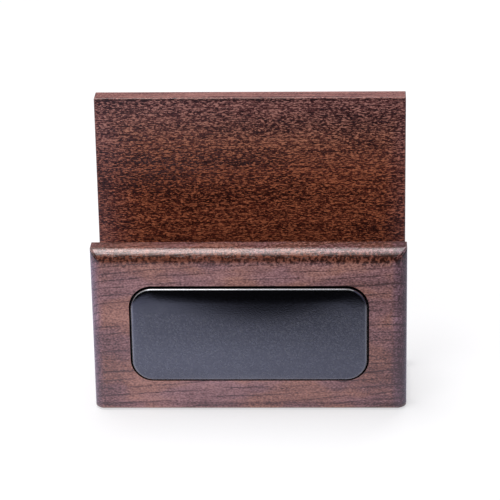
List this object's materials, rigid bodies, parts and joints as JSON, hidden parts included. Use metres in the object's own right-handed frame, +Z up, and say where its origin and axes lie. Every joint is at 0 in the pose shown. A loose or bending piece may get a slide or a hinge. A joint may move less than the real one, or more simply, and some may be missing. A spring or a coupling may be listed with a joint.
{
  "type": "letter holder",
  "caption": "Dark-stained wooden letter holder with a low front board, a padded black inlay set in its face, a taller back board and an open slot between them for upright letters.",
  "frame": {"origin": "on the desk under the middle of the holder: centre of the bounding box in X and Y, undersides of the feet in Z", "axes": "+X along the width to the right seen from the front, +Y from the front board towards the back board, +Z up"},
  "size_m": [0.15, 0.0642, 0.1415],
  "materials": {
    "wood": "dark stain under a satin lacquer",
    "leatherette": "fine grain, satin black",
    "foam": "open foam",
    "fibreboard": "raw",
    "tape": "matte",
    "zinc_steel": "zinc plated",
    "foot_rubber": "matte"
  },
  "bodies": {
    "root": {"front_board": "wood", "back_board": "wood", "base_board": "wood", "inlay_cover": "leatherette", "inlay_padding": "foam", "inlay_backing": "fibreboard", "inlay_tape_upper": "tape", "inlay_tape_lower": "tape", "screw_front_left": "zinc_steel", "screw_front_right": "zinc_steel", "screw_back_left": "zinc_steel", "screw_back_right": "zinc_steel", "foot_front_left": "foot_rubber", "foot_front_right": "foot_rubber", "foot_back_left": "foot_rubber", "foot_back_right": "foot_rubber"}
  },
  "joints": []
}
